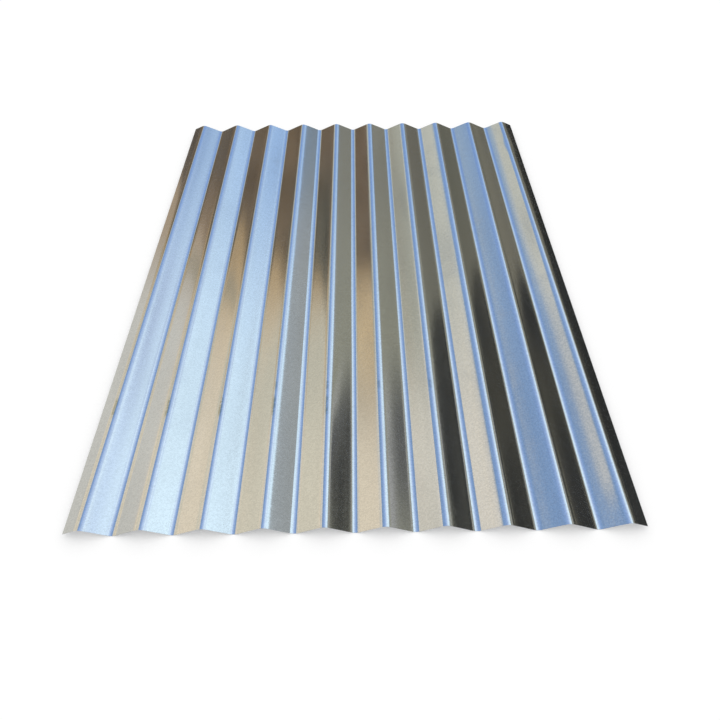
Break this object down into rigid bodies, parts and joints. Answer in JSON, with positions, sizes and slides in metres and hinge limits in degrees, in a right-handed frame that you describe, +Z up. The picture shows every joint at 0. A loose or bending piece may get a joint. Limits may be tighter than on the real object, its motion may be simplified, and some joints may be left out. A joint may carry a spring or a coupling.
{
  "type": "corrugated metal sheet",
  "caption": "Galvanised steel roofing sheet with straight-flanked round-bend corrugations along its length and a down-turned lap edge on each side.",
  "frame": {"origin": "under the middle valley, halfway along the sheet, on the plane that the valleys rest on", "axes": "+X across the waves, +Y along the waves, +Z up, away from the floor"},
  "size_m": [0.6478, 0.9144, 0.0131],
  "materials": {
    "galvanised_steel": "bright hot-dip zinc coat, fine spangle, lengthwise rolling marks"
  },
  "bodies": {
    "root": {"corrugated_sheet": "galvanised_steel"}
  },
  "joints": []
}
